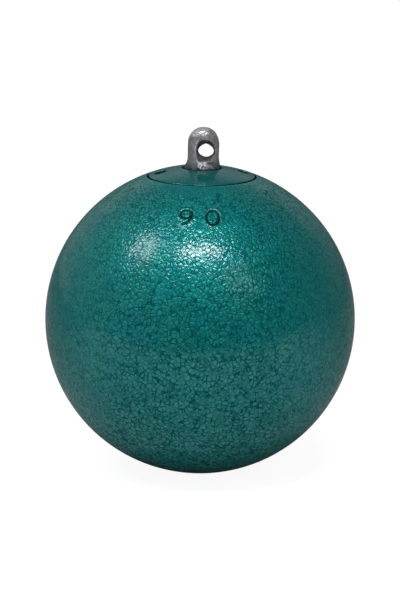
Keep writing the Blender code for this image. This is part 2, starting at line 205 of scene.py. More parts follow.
def join(kind, *values, **settings):
    """Adds a node whose first sockets take the values in turn."""
    tree = next(value.id_data for value in values if isinstance(value, bpy.types.NodeSocket))
    made = add(tree, kind, **settings)
    for socket, value in zip(made[0].node.inputs, values):
        wire(socket, value)
    return made


def new_finish(name):
    """A new material, its main shader, and the place of each point on the object."""
    material = bpy.data.materials.new(name)
    material.use_nodes = True
    tree = material.node_tree
    return material, tree.nodes["Principled BSDF"], add(tree, "TexCoord")["Object"]


# %% Do arithmetic with sockets
def maths(operation, *values):
    return join("Math", *values, operation=operation)[0]


def product(*values):
    return reduce(partial(maths, "MULTIPLY"), values)


def largest(*values):
    return reduce(partial(maths, "MAXIMUM"), values)


def times_plus(value, factor, more):
    return maths("MULTIPLY_ADD", value, factor, more)


def rest(value):
    """What is left of 1."""
    return maths("SUBTRACT", 1.0, value)


def vectors(operation, *values, **sockets):
    made = join("VectorMath", *values, operation=operation, **sockets)
    return made["Value" if operation == "LENGTH" else "Vector"]


def axes(place):
    return add(place.id_data, "SeparateXYZ", Vector=place)


def apart(across, along):
    """How far off a point is, from two distances at right angles."""
    return vectors("LENGTH", join("CombineXYZ", across, along)[0])


# %% Stretch, mix and roughen
def ramp(value, low, high, to_low=0.0, to_high=1.0, kind="SMOOTHSTEP"):
    """Carries a value from one range to another, smoothly unless told otherwise."""
    return join("MapRange", value, low, high, to_low, to_high, interpolation_type=kind)[0]


def mixed(share, first, second):
    made = join("Mix", share, data_type="RGBA")
    for place, value in ((6, first), (7, second)):  # the node's two sockets for colours
        wire(made[0].node.inputs[place], value)
    return made[2]


def grain(place, size, detail=2.0, roughness=0.5, output="Fac"):
    """Soft noise whose lumps are about `size` metres across."""
    return add(place.id_data, "TexNoise", Vector=place, Scale=1 / size, Detail=detail,
               Roughness=roughness)[output]


def patches(place, size, low, high, least=0.0, most=1.0, detail=2.0, roughness=0.5):
    """Soft patches: `least` where the noise is under low, `most` where it is over high."""
    return ramp(grain(place, size, detail, roughness), low, high, least, most)


def bump(height, distance, strength=1.0):
    """Tilts the surface as if it had this relief."""
    return add(height.id_data, "Bump", Strength=strength, Distance=distance, Height=height)[0]


# %% [markdown]
# ## The hammered paint
#
# Hammered enamel carries metal flakes and a little silicone. As it dries the silicone pulls the
# film into small cushions with dark valleys between them, and the flakes settle in the cushions.
# A photograph of real paint could be wrapped round the ball, but it would stretch at the poles.
# Cell noise in three dimensions has no seam: the ball simply cuts through it. Two sizes of cell
# are laid over each other, and soft noise bends them first, so that no wall is straight. The
# cushions crowd a little towards the top, and there and on the sides the film ran thin.

# %% Cells of the hammered paint
CELL, SMALL_CELL = 1.3 * MM, 0.8 * MM
CROWDING = (0.84, 1.14)  # how close the cells lie at the bottom and at the top
BENDS = ((1.6 * MM, 1.1 * MM), (0.6 * MM, 0.45 * MM))  # size of the bends and how far they reach
THIN_LEVELS, THIN_SHARE = (39 * MM, 42.3 * MM), 0.4  # above the ball's centre, and what is left there
SPRAYED_SIDES, SIDE_SHARE = (14 * MM, 38 * MM), 0.55  # to the left and right, and what is left there


def level(place):
    """Height over the ball's centre."""
    return maths("SUBTRACT", axes(place)["Z"], CENTRE.z)


def bent_place(place):
    """The place, pushed about by a wide and a narrow noise and crowded towards the top."""
    crowding = ramp(level(place), -RADIUS, RADIUS, *CROWDING, kind="LINEAR")
    for size, reach in BENDS:
        push = vectors("SUBTRACT", grain(place, size, output="Color"), (0.5, 0.5, 0.5))
        place = vectors("ADD", place, vectors("SCALE", push, Scale=reach))
    return vectors("SCALE", vectors("SUBTRACT", place, CENTRE), Scale=crowding)


def cells(place, size, feature="F1"):
    """Cell noise: distances are in shares of a cell, and the colour is another in each cell."""
    return add(place.id_data, "TexVoronoi", feature=feature, Vector=place, Scale=1 / size)


def walls(place, size, width, middle, outside, near=0.0):
    """`middle` up to `near` from the walls between the cells, `outside` farther than `width`."""
    return ramp(cells(place, size, "DISTANCE_TO_EDGE")[0], near, width, middle, outside)


def film_share(place):
    """1 where the film is full, less where it ran thin towards the top."""
    return ramp(level(place), *THIN_LEVELS, 1.0, THIN_SHARE)


def side_share(place):
    """1 on the front and the back, less on the sides, which the spray met at a flat angle."""
    return ramp(maths("ABSOLUTE", axes(place)["X"]), *SPRAYED_SIDES, 1.0, SIDE_SHARE)


# %% [markdown]
# The valleys are dark and dull, because no flakes lie in them and nothing is mirrored there. Their
# darkness also stands in for the shade that falls into them, so it is partly painted shade. They
# are wider low on the ball, where the film is thickest, and fade towards the sides, which the
# spray met at a flat angle. Painting lines along every cell wall would look like a net, so soft
# noise makes the lines stronger and weaker. Where the film is thin, a finer net takes over.

# %% Dark gaps between the cushions, partly painted shade
GAP_DEPTH = 0.95
GAP_LEVELS, GAPS = (-14 * MM, 16 * MM), (0.24, 0.19)  # half their width at these levels, of a cell
BREAKS = (1.6 * MM, 0.36, 0.60, 0.45, 1.0)  # size and span of the noise, least and most of the gaps
SMALL_BREAKS = (3.6 * MM, 0.40, 0.62, 0.1, 0.6)  # the same for the gaps round the small cells
CORNERS = (0.74, 0.95, 0.0, 0.5)  # far from a cell's middle, where three walls meet
FINE_CELL, NET_WIDTH, NET_DEPTH = 0.95 * MM, 0.2, 0.7


def gaps_and_valley_shade(place, bent, thin):
    """Broken gaps round the cushions, and a finer net where the film is thin; their dark is partly
    painted shade.
    """
    width = ramp(level(place), *GAP_LEVELS, *GAPS)
    gaps = [product(walls(bent, size, width, GAP_DEPTH, 0.0), patches(place, *breaks))
            for size, breaks in ((CELL, BREAKS), (SMALL_CELL, SMALL_BREAKS))]
    gaps = product(largest(*gaps, ramp(cells(bent, CELL)[0], *CORNERS)), film_share(place))
    net = product(walls(bent, FINE_CELL, NET_WIDTH, NET_DEPTH, 0.0), thin)
    return product(largest(gaps, net), side_share(place))


# %% [markdown]
# The relief is a few hundredths of a millimetre high, too fine to be modelled in the mesh, so the
# shader tilts the surface instead. A cushion has a nearly flat top and a steep rim: the flat tops
# keep a lamp's mirror image in one place, and the rims break it into short bright strokes. The
# rims begin just outside the dark gaps, because nothing glints inside a gap.

# %% Relief of the paint
RIM = (0.10, 0.30)  # where a cushion's steep rim begins and ends, in shares of a cell
RIM_HEIGHT, SMALL_RIM_HEIGHT = 0.036 * MM, 0.009 * MM
DOME_HEIGHT = 0.04 * MM
WRINKLES = ((4.0 * MM, 0.06 * MM), (1.0 * MM, 0.012 * MM))  # size and height
PEEL_HEIGHT = 0.06 * MM  # of the finer wrinkles where the film is thin


def paint_relief(place, bent, thin):
    """Height of the film: cushions with nearly flat tops and steep rims, and faint wrinkles."""
    rims = [walls(bent, size, RIM[1], 0.0, height, near=RIM[0])
            for size, height in ((CELL, RIM_HEIGHT), (SMALL_CELL, SMALL_RIM_HEIGHT))]
    out = cells(bent, CELL)[0]
    full = maths("ADD", maths("ADD", *rims), product(out, out, -DOME_HEIGHT))
    for size, height in WRINKLES:
        full = times_plus(grain(place, size, 1.0), height, full)
    full = product(full, film_share(place), side_share(place))
    return times_plus(product(grain(place, FINE_CELL), PEEL_HEIGHT), thin, full)


# %% [markdown]
# Each cushion is a little bluer, greener or darker than the next. One soft cloud of colour over
# the ball would be simpler, but real flakes settle in each cushion by themselves. So cell noise
# gives every cushion a chance value, and clouds are laid over that.

# %% Colour of the paint
# The valley colour: the paint's own dark, and painted shade in the valleys.
PAINT_VALLEY_AND_SHADE = (0.0008, 0.050, 0.052, 1)
PAINT_BLUE = (0.0042, 0.217, 0.226, 1)
PAINT_GREEN = (0.0062, 0.230, 0.210, 1)
HUES = (9 * MM, 0.38, 0.62, 0.0, 1.0, 3.0)  # size and span of the noise, both ends, and its detail
CLOUDS = (0.7 * MM, 0.3, 0.7, 0.84, 1.0, 3.0)
OWN_HUE, OWN_TONE = 0.4, 0.16  # how far a cushion may differ from the next


def paint_tones(place, bent, gap_dark_and_shade, thin_tone_and_shade):
    """The film's colour: darkest in the gaps, partly as painted shade, and changed by a tone where the
    film is thin, which on the cap is painted shade.
    """
    chance = axes(cells(bent, CELL)["Color"])
    hue = times_plus(maths("SUBTRACT", chance[0], 0.5), OWN_HUE, patches(place, *HUES))
    own = times_plus(chance[1], OWN_TONE, 1.0 - OWN_TONE)
    tone = product(rest(gap_dark_and_shade), patches(place, *CLOUDS), own, thin_tone_and_shade)
    return mixed(tone, PAINT_VALLEY_AND_SHADE, mixed(hue, PAINT_BLUE, PAINT_GREEN))


# %% [markdown]
# Clear lacquer floats up over the flakes, so the finish has two glosses: the flakes spread a soft
# teal glow, and the lacquer mirrors the lamps in white. One rough gloss would give only the glow,
# so the lacquer is the shader's own coat, which lies more level than the flakes below it. Wherever
# the surface lies deep, the paint turns nearly black and dull as painted shade: the distance from
# the ball's centre finds the figures, the groove and the holes. The cap gets a darker copy of the
# paint, which is painted shade.

# %% The paint itself
CALM_LEVELS, CALM = (41 * MM, 42.6 * MM), 0.4  # above the ball's centre, where the net fades
# On the cap the tone makes a darker copy of the paint, as painted shade.
THIN_TONE, CAP_SHADE_TONE = 1.12, 0.58  # how light the thin film is, on the ball and on the cap
FLAKES = (0.3 * MM, 0.3, 0.7, 0.38, 0.56, 3.0, 0.7)  # noise, and the least and most roughness
FLAKE_METAL, FLAKE_LEVEL, FLAKE_RELIEF = 0.6, 0.1, 1.6
EDGE_TINT = (0.25, 0.60, 0.60, 1)  # of the flakes, seen at a flat angle
LACQUER_ROUGHNESS, LACQUER_IOR, LACQUER_RELIEF = 0.06, 1.55, 0.66
GAP_DULLNESS = 1.4  # over 1, so that the deeper gaps have no gloss at all
THIN_GLOSS, FULL_FROM = 0.85, 0.7  # gloss of the thin film, and the film's share that has it all
# Nearly black painted shade, where the surface lies this deep below the ball's surface.
DEEP_SHADE, DEEP_SHADE_DEPTHS = (0.001, 0.010, 0.011, 1), (0.11 * MM, 0.27 * MM)  # below the ball's surface


def hammered_paint(name, thin_tone_and_cap_shade):
    """The paint, and how light it is where the film is thin; on the cap this darker tone is painted
    shade.
    """
    material, shader, place = new_finish(name)
    bent, film = bent_place(place), film_share(place)
    thin = ramp(film, THIN_SHARE, 1.0, 1.0, 0.0)
    calm = product(thin, ramp(level(place), *CALM_LEVELS, 1.0, CALM))
    # The gaps are dark partly by the paint's own colour and partly as painted shade.
    gap_dark_and_shade = gaps_and_valley_shade(place, bent, calm)
    tones = paint_tones(place, bent, gap_dark_and_shade, times_plus(thin, thin_tone_and_cap_shade - 1.0, 1.0))
    gloss = product(largest(rest(product(gap_dark_and_shade, GAP_DULLNESS)), 0.0),
                    ramp(film, THIN_SHARE, FULL_FROM, THIN_GLOSS, 1.0))
    out = vectors("LENGTH", vectors("SUBTRACT", place, CENTRE))
    # Painted shade in the figures, the groove and the holes: the colour goes nearly black and loses its
    # gloss.
    deep_shade = ramp(maths("SUBTRACT", RADIUS, out), *DEEP_SHADE_DEPTHS)
    relief = paint_relief(place, bent, calm)
    fill(shader, Base_Color=mixed(deep_shade, tones, DEEP_SHADE), Roughness=patches(place, *FLAKES),
         Metallic=product(rest(deep_shade), FLAKE_METAL), Specular_IOR_Level=FLAKE_LEVEL,
         Specular_Tint=EDGE_TINT, Normal=bump(relief, FLAKE_RELIEF))
    fill(shader, Coat_Weight=product(gloss, rest(deep_shade)), Coat_Roughness=LACQUER_ROUGHNESS,
         Coat_IOR=LACQUER_IOR, Coat_Normal=bump(relief, LACQUER_RELIEF))
    return material


paint = hammered_paint("teal_hammered_paint", THIN_TONE)
# The cap's darker copy of the paint is painted shade.
shaded_cap_paint = hammered_paint("teal_cap_paint_shaded", CAP_SHADE_TONE)
print("paint cells of", round(CELL / MM, 2), "and", round(SMALL_CELL / MM, 2), "mm")

# %% [markdown]
# ## The bare metals
#
# The eye is forged and left bare. Its skin is grey, cloudy and pitted, and its foot turns darker
# and teal towards the cap. The seam and the upper part of the hole are near black, as painted
# shade. The dish below the hole is scuffed bare by the wire; its right side is darker, with a dark
# teal patch low down, both as painted shade. The rims of the hole and the top carry painted
# highlights. Each of these could be painted on by hand. A shader can instead work out from the
# place alone how near a point lies to the hole, the seam or the top. So each of these parts is a
# row of limits, and the colours are mixed by that.

# %% Limits of the eye's worn parts, its painted shade and its painted highlights
HOLE_SHIFT = 1.1 * MM  # of the eye's hole, from the swivel axis
EYE_OFFSET = 0.4 * MM  # of the eye itself
HOLE_OVAL, RIM_OVAL = (0.15 * MM, 0.85, 0.3 * MM), (0.17 * MM, 0.77, 0.73 * MM)  # left, squash, lift
CLOUD_GRAIN, SCUFFS = (1.6 * MM, 4.0, 0.6), (0.6 * MM, 0.38, 0.64, 0.0, 1.0, 5.0, 0.7)
RAGGED, WANDER = -2.4 * MM, 0.7 * MM  # how far clouds and scuffs push a limit about
EYE_PARTS = {  # each limit: what is measured, from and to in mm, and the share at both
    # Seam and hole: near-black painted shade at the foot's seam and in the upper part of the hole.
    "seam": (("ragged", 0.1, 0.55, 1, 0),),
    "hole": (("off hole", 3.15, 3.35, 1, 0), ("off axis", 4.15, 4.42, 1, 0),
             ("up", -2.75, -2.45, 0, 0.78)),
    # The foot turns darker and teal towards the cap.
    "teal foot": (("ragged", 0.4, 4.2, 0.97, 0),),
    "dish": (("beside", 2.0, 2.5, 1, 0), ("up", -2.75, -2.55, 1, 0)),
    # The right of the dish is darker than its lit left, as painted shade.
    "shaded side": (("across", 0.6, 1.6, 0, 1),),
    # A dark teal painted shade low on the right of the dish.
    "shade patch": (("wandering", 1.3, 2.7, 0, 0.85), ("up", -4.4, -3.1, 0, 1)),
    # Rim, lip and top: painted highlights on the rims of the hole and on the top.
    "rim": (("off rim", 2.7, 2.85, 0, 1), ("off rim", 2.95, 3.2, 1, 0), ("across", -1.4, -0.4, 0.8, 0),
            ("up", -1.2, 0.6, 0, 1)),
    "lip": (("off hole", 3.1, 3.25, 0, 1), ("off hole", 3.4, 3.6, 1, 0), ("across", -0.3, 0.6, 1, 0),
            ("up", -2.4, -1.7, 0.6, 0)),
    "top": (("up", 4.0, 5.4, 0, 1), ("across", 1.2, 2.4, 1, 0))}
spindle_rings = rings("eye_spindle")
journal_radius, seam_level = spindle_rings[0]
print("journal radius:", round(journal_radius / MM, 2), "seam level:", round(seam_level / MM, 2))

# %% Work out where the eye is worn, and where it gets painted shade and painted highlights
forged, shader, place = new_finish("bare_forged_steel")
across, along, up = axes(place)
clouds = grain(place, *CLOUD_GRAIN)
scuffs = patches(place, *SCUFFS)


def from_oval(left, squash, lift):
    """Distance from the middle of an oval round the hole, seen from the front."""
    return apart(maths("SUBTRACT", across, HOLE_SHIFT - left), times_plus(up, squash, -lift))


measures = {
    "across": across, "up": up, "beside": maths("ABSOLUTE", maths("SUBTRACT", across, HOLE_SHIFT)),
    "off axis": apart(maths("SUBTRACT", across, EYE_OFFSET), along),
    "off hole": from_oval(*HOLE_OVAL), "off rim": from_oval(*RIM_OVAL),
    "ragged": times_plus(maths("SUBTRACT", clouds, 0.5), RAGGED, maths("SUBTRACT", up, seam_level)),
    "wandering": times_plus(scuffs, WANDER, across)}
worn = {part: product(*[ramp(measures[what], low * MM, high * MM, *shares)
                        for what, low, high, *shares in limits]) for part, limits in EYE_PARTS.items()}

# %% Forged steel
STEEL_DARK, STEEL_LIGHT = (0.21, 0.205, 0.21, 1), (0.36, 0.35, 0.37, 1)
# The colours of the painted highlights, of the near-black painted shade, and a dark teal for the foot
# and the painted shade right of the dish.
HIGHLIGHT_STEEL, SHADE_BLACK, DARK_TEAL = (0.62, 0.62, 0.64, 1), (0.006, 0.011, 0.011, 1), (0.020, 0.044, 0.041, 1)
# The dish's worn colour, a darker copy of it for its right side as painted shade, and dark scuffs.
WORN, WORN_SHADED, SCUFFED = (0.50, 0.51, 0.54, 1), (0.28, 0.27, 0.31, 1), (0.05, 0.06, 0.065, 1)
PIT_GRAIN, STREAK_GRAIN, STREAK_STRETCH = (0.4 * MM, 4.0, 0.65), (0.5 * MM, 3.0), (0.3, 1.0, 1.5)
CLOUD_SPAN, STREAK_SPAN = (0.34, 0.68), (0.36, 0.52, 0.0, 0.8)
SKIN_RELIEF = (0.06 * MM, 0.8)  # height of the pits and strength
STREAK_RELIEF, CLOUD_RELIEF = 4.0, 0.8  # against the relief of the pits
SKIN_ROUGHNESS, DULLED = (0.3, 0.7, 0.25, 0.38), 0.3  # by the pits, and what mist and scuffs add
STEEL_METAL, STEEL_LEVEL = 0.64, 0.25
pits = grain(place, *PIT_GRAIN)
streaks = grain(vectors("MULTIPLY", place, STREAK_STRETCH), *STREAK_GRAIN)
# Painted shade: the seam and the upper part of the hole go near black.
hole_and_seam_shade = largest(worn["seam"], worn["hole"])
# The worn dish, darker on its right as painted shade, with dark scuffs.
dish = mixed(scuffs, SCUFFED, mixed(worn["shaded side"], WORN, WORN_SHADED))
# Painted highlights on the hole's rims and in streaks on the top.
painted_highlights = largest(worn["rim"], worn["lip"], product(worn["top"], ramp(streaks, *STREAK_SPAN)))
# Darker and teal low on the foot, near the cap.
colour = mixed(worn["teal foot"], mixed(ramp(clouds, *CLOUD_SPAN), STEEL_DARK, STEEL_LIGHT), DARK_TEAL)
# Lower down, the dish is worn bare, and a dark teal painted shade lies on its right.
colour = mixed(worn["dish"], colour, mixed(worn["shade patch"], dish, DARK_TEAL))
height = times_plus(streaks, STREAK_RELIEF, times_plus(clouds, CLOUD_RELIEF, pits))
fill(shader, Base_Color=mixed(hole_and_seam_shade, mixed(painted_highlights, colour, HIGHLIGHT_STEEL), SHADE_BLACK),
     Roughness=times_plus(largest(worn["teal foot"], worn["dish"]), DULLED, ramp(pits, *SKIN_ROUGHNESS)),
     Metallic=product(rest(largest(hole_and_seam_shade, worn["teal foot"])), STEEL_METAL),
     Specular_IOR_Level=STEEL_LEVEL, Normal=bump(height, *SKIN_RELIEF))

# %% [markdown]
# The pieces inside were turned, so their skin is a fine thread of tool marks round the axis, too
# fine to be cut into the mesh. Noise that is sampled by radius and height alone is the same all
# the way round, and gives such marks. One function makes all the turned metals.

# %% Turned metals
MARK_RELIEF = (0.01 * MM, 0.5)  # height and strength
STAINS = (3 * MM, 0.35, 0.7, 0.0, 1.0, 3.0, 0.6)
STAIN_ROUGHNESS = 0.14  # what a stain adds


def turned_metal(name, colour, worn, roughness, lines=0.12 * MM):
    """Metal with tool marks round the swivel axis and faint stains."""
    material, shader, place = new_finish(name)
    across, along, up = axes(place)
    marks = grain(join("CombineXYZ", apart(across, along), 0.0, up)[0], lines)
    stains = patches(place, *STAINS)
    fill(shader, Base_Color=mixed(stains, (*colour, 1), (*worn, 1)), Metallic=1.0,
         Roughness=ramp(stains, 0.0, 1.0, roughness, roughness + STAIN_ROUGHNESS),
         Normal=bump(marks, *MARK_RELIEF))
    return material


ground = turned_metal("ground_bearing_steel", (0.60, 0.60, 0.61), (0.50, 0.50, 0.52), 0.16, 0.06 * MM)
plated = turned_metal("zinc_plated_steel", (0.50, 0.51, 0.53), (0.40, 0.42, 0.46), 0.32)
machined = turned_metal("machined_steel", (0.44, 0.43, 0.44), (0.34, 0.33, 0.33), 0.28)
cast_iron = turned_metal("bored_cast_iron", (0.24, 0.23, 0.23), (0.16, 0.15, 0.14), 0.42, 0.2 * MM)
bronze = turned_metal("bush_bronze", (0.50, 0.29, 0.11), (0.36, 0.19, 0.07), 0.3)
brass = turned_metal("cage_brass", (0.62, 0.44, 0.15), (0.50, 0.33, 0.10), 0.28)

# %% [markdown]
# The seal is plain black rubber. It has a faint bloom where it is dry and a greasy shine where it
# rubs. One flat black would look like paint, so its colour and roughness wander a little.

# %% Rubber for the seal
RUBBER_DARK, RUBBER_DUSTY = (0.010, 0.010, 0.010, 1), (0.035, 0.034, 0.032, 1)
BLOOM_GRAIN, BLOOM_SPAN = (0.8 * MM, 3.0), (0.4, 0.7)
BLOOM_ROUGHNESS, BLOOM_RELIEF = (0.3, 0.7, 0.45, 0.75), (0.02 * MM, 0.4)
rubber, shader, place = new_finish("seal_rubber")
bloom = grain(place, *BLOOM_GRAIN)
fill(shader, Base_Color=mixed(ramp(bloom, *BLOOM_SPAN), RUBBER_DARK, RUBBER_DUSTY),
     Roughness=ramp(bloom, *BLOOM_ROUGHNESS), Normal=bump(bloom, *BLOOM_RELIEF))

# %% [markdown]
# ## Figures punched into the ball
#
# The ball carries two plain figures under the cap, its width in millimetres, each struck with a
# hand punch before the ball was painted. A punch leaves a groove with a low burr along both
# sides. It could be a picture of a groove, but then the edges would not catch the light, so the
# groove is real: each corner of the ball near a stroke sinks by its distance from that stroke.

# %% Strokes of the two figures
FIGURE_HEIGHT = 5.3 * MM
FIGURE_LEVEL = 35.3 * MM  # above the ball's centre
FIGURE_PLACES = (-4.3 * MM, 3.3 * MM)  # across the front
FIGURE_TILTS = (radians(3), radians(-4))
STROKE, STROKE_DEPTH = 0.44 * MM, 0.32 * MM  # half a groove's width, and its depth
BURR, BURR_PLACE, BURR_WIDTH = 0.16 * MM, 1.75, 1.0  # height, and the others in shares of the stroke


def oval(centre, wide, high, start, end, steps=24):
    """Points on an oval in shares of the figure's height. Across is real and up is imaginary."""
    angles = [radians(start + (end - start) * i / steps) for i in range(steps + 1)]
    return np.array([centre + complex(wide * cos(a), high * sin(a)) for a in angles])


nine = (oval(0.21j, 0.31, 0.29, 0, 360), oval(-0.32 + 0.21j, 0.63, 0.71, 0, -72))
nought = (oval(0, 0.34, 0.5, 0, 360),)


def stroke_distance(points, strokes):
    """How far each point is from the nearest stroke, in metres."""
    nearest = np.full(points.shape, 1.0)
    for line in strokes:
        for start, end in zip(line[:-1] * FIGURE_HEIGHT, line[1:] * FIGURE_HEIGHT):
            share = np.clip(((points - start) / (end - start)).real, 0, 1)
            nearest = np.minimum(nearest, abs(points - start - share * (end - start)))
    return nearest


def figure_depth(outward):
    """How deep the figures cut at points given as unit vectors from the ball's centre."""
    depth = np.zeros(len(outward))
    for across_place, tilt, strokes in zip(FIGURE_PLACES, FIGURE_TILTS, (nine, nought)):
        back = sqrt(RADIUS**2 - FIGURE_LEVEL**2 - across_place**2)
        out = Vector((across_place, -back, FIGURE_LEVEL)).normalized()
        right = Vector((0, 0, 1)).cross(out).normalized()
        right.rotate(Matrix.Rotation(tilt, 3, out))
        upward = out.cross(right)
        near = outward @ np.array(out) > cos(FIGURE_HEIGHT / RADIUS)
        points = outward[near] @ (np.array(right) + 1j * np.array(upward)) * RADIUS
        gap = stroke_distance(points, strokes)
        fall = np.clip(1 - gap / STROKE, 0, 1)
        groove = STROKE_DEPTH * fall * fall * (3 - 2 * fall)
        burr = BURR * np.exp(-(((gap / STROKE - BURR_PLACE) / BURR_WIDTH) ** 2))
        depth[near] += groove - burr
    return depth


# %% [markdown]
# ## The ball
#
# The ball is one turned shape: the sphere, the rounded mouth and the stepped socket under the
# cap. The mouth was cleaned up by hand, so its edge is rounded more on one side than on the other.
# A sphere primitive has no room for that, so the profile is carried round in steps of our own,
# about an eighth of a millimetre apart across the figures and about one millimetre elsewhere.

# %% Steps round the ball and down it
FINE, COARSE = 0.12 * MM, 0.95 * MM
FINE_REACH = 4.4 * MM  # beyond the middle of each figure
MOUTH_ROUND = (0.22 * MM, 0.30 * MM)  # on the right and on the left


def stretches(low, high, first, last, radius):
    """Angles from low to high, close together near the figures between first and last."""
    first, last = first - FINE_REACH / radius, last + FINE_REACH / radius
    spans = ((low, first, COARSE / RADIUS), (first, last, FINE / radius), (last, high, COARSE / RADIUS))
    parts = [np.linspace(a, b, max(1, round((b - a) / step)), endpoint=False) for a, b, step in spans]
    return [*np.concatenate(parts), high]


figure_radius = sqrt(RADIUS**2 - FIGURE_LEVEL**2)
figure_turns = [place / figure_radius - pi / 2 for place in FIGURE_PLACES]
turns = stretches(-pi, pi, *figure_turns, figure_radius)[:-1]
figure_rise = asin(FIGURE_LEVEL / RADIUS)
mouth_rise = acos((mouth_radius + max(MOUTH_ROUND)) / RADIUS)
rises = stretches(-pi / 2, mouth_rise, figure_rise, figure_rise, RADIUS)[::-1]
print("steps round:", len(turns), "steps down:", len(rises))

# %% Build the ball with its mouth, socket and figures
EDGE_STEPS = 5
WAVE_SIZE, WAVE_DEPTH = 14 * MM, 0.04 * MM
PAINTED_DEPTH = 2.3 * MM  # how far paint runs into a hole
BORE_SLACK = 0.1 * MM


def edge_width(widths, turn):
    """Width of a rounded edge: the first of two widths, growing to the second on the left."""
    return widths[0] + (widths[1] - widths[0]) * max(0.0, -cos(turn)) ** 2


def rounded_mouth():
    """Rows of corners on the mouth's rounded edge, from the wall out to the ball's surface."""
    corners = []
    for i in range(EDGE_STEPS, 0, -1):
        lean = pi / 2 * i / EDGE_STEPS
        for turn in turns:
            width = edge_width(MOUTH_ROUND, turn)
            radius = mouth_radius + width * (1 - sin(lean))
            corners.append(at(radius, turn, on_ball(radius) - width * (1 - cos(lean))))
    return corners


def ball_mesh():
    skin = [at(cos(rise), turn, sin(rise)) for rise in rises for turn in turns]
    skin = np.array(rounded_mouth() + [tuple(CENTRE + RADIUS * Vector(out)) for out in skin])
    outward = skin - np.array(CENTRE)
    outward /= np.linalg.norm(outward, axis=1)[:, None]
    waves = np.array([noise.noise(Vector(out) * RADIUS / WAVE_SIZE) for out in outward])
    depth = figure_depth(outward) + WAVE_DEPTH * (0.5 + 0.5 * waves)
    skin -= outward * depth[:, None]
    inside, _ = lathe([(0, socket[-1][1]), *socket[::-1][1:-1]], turns)
    corners = inside + [tuple(corner) for corner in skin]
    return welded("painted_ball", corners, bands(len(corners) // len(turns), len(turns)))


def is_bored(middle):
    """True for a face of the bare bore, inside the painted wall of the groove."""
    deep = (middle - CENTRE).length < RADIUS - PAINTED_DEPTH
    return deep and middle.xy.length < cap_radius - BORE_SLACK


piece(ball_mesh(), "head", ["head_casting"], paint, cast_iron, is_bored)

# %% [markdown]
# ## The cap
#
# The cap's dome carries on the ball's surface, and two blind holes take the pegs of a spanner.
# Cutting the holes with a Boolean leaves long thin faces that spoil the gloss. So the dome is
# laid out flat first, as a net of points with the holes left open, and then lifted onto the
# ball. The edges of the cap and of the holes are rounded where the net meets them.

# %% Sizes of the cap
CAP_ROUND, HOLE_ROUND = 0.16 * MM, 0.3 * MM
CAP_EDGE = (0.22 * MM, 0.65 * MM)  # width of the rounded edge on the right and on the left
ROUND_ROWS = (0, 0.1, 0.3, 0.6, 1)  # of the net across a rounded edge, in shares of its width
NET = 0.42 * MM  # the mesh width elsewhere
NET_CLEARANCE = 0.6 * NET  # round the holes
CAP_STEPS, HOLE_STEPS = 240, 56
SPANNER_RADIUS, SPANNER_DEPTH = 1.8 * MM, 3.5 * MM
SPANNER_PITCH, SPANNER_TURN = 11.95 * MM, radians(5.7)  # where the holes stand
DRILL_ANGLE = radians(59)
cap_rings = inner_rings("bearing_cap")
bore_radius = min(r for r, z in cap_rings)
BORE_LIMIT = 0.7 * cap_radius  # rings inside this belong to the bore, the others to the outside
first_hole = Vector((SPANNER_PITCH * cos(SPANNER_TURN), SPANNER_PITCH * sin(SPANNER_TURN)))
holes = (first_hole, -first_hole)
print("cap rings:", len(cap_rings), "bore radius:", round(bore_radius / MM, 2))


# %% Lay the cap's net out flat
def circle(centre, radius, count):
    return [centre + Vector((radius * cos(a), radius * sin(a))) for a in around(count)]


def cap_net():
    """Points close together at the edges, and even circles between them."""
    middle = Vector((0, 0))
    points = []
    for share in ROUND_ROWS:
        for a in around(CAP_STEPS):
            points.append((cap_radius - edge_width(CAP_EDGE, a) * share) * Vector((cos(a), sin(a))))
        points += circle(middle, bore_radius + CAP_ROUND * share, CAP_STEPS)
        for spot in holes:
            points += circle(spot, SPANNER_RADIUS + HOLE_ROUND * share, HOLE_STEPS)
    first, last = bore_radius + CAP_ROUND + NET, cap_radius - max(CAP_EDGE) - NET
    clear = SPANNER_RADIUS + HOLE_ROUND + NET_CLEARANCE
    rows = round((last - first) / NET)
    for row in range(rows + 1):
        radius = first + (last - first) * row / rows
        ring = circle(middle, radius, round(tau * radius / NET))
        points += [p for p in ring if all((p - spot).length > clear for spot in holes)]
    return points


# %% Lift the net onto the ball
def edge_drop(inside, width):
    """How far a rounded edge of this width has fallen at this distance in from it."""
    return width - sqrt(max(width**2 - max(width - inside, 0.0) ** 2, 0.0))


def cap_dome():
    flat, _, triangles, *_ = geometry.delaunay_2d_cdt(cap_net(), [], [], 0, 1e-9)
    kept = []
    for triangle in triangles:
        middle = sum((flat[i] for i in triangle), Vector((0, 0))) / 3
        over_hole = any((middle - spot).length < SPANNER_RADIUS for spot in holes)
        if bore_radius < middle.length < cap_radius and not over_hole:
            kept.append(tuple(triangle))
    lifted = []
    for point in flat:
        width = edge_width(CAP_EDGE, atan2(point.y, point.x))
        drop = edge_drop(cap_radius - point.length, width) * CAP_ROUND / width
        drop += edge_drop(point.length - bore_radius, CAP_ROUND)
        drop += sum(edge_drop((point - spot).length - SPANNER_RADIUS, HOLE_ROUND) for spot in holes)
        lifted.append((point.x, point.y, on_ball(point.length) - drop))
    return lifted, kept


# %% Close the cap with its walls, holes, underside and stepped bore
def stepped(found, radius):
    """Puts the rings of a stepped bore in order from below: up each wall, then across each step."""
    line = []
    for height in sorted({z for _, z in found}):
        step = sorted((r for r, z in found if z == height), key=lambda r: abs(r - radius))
        line += [(r, height) for r in step]
        radius = step[-1]
    return line


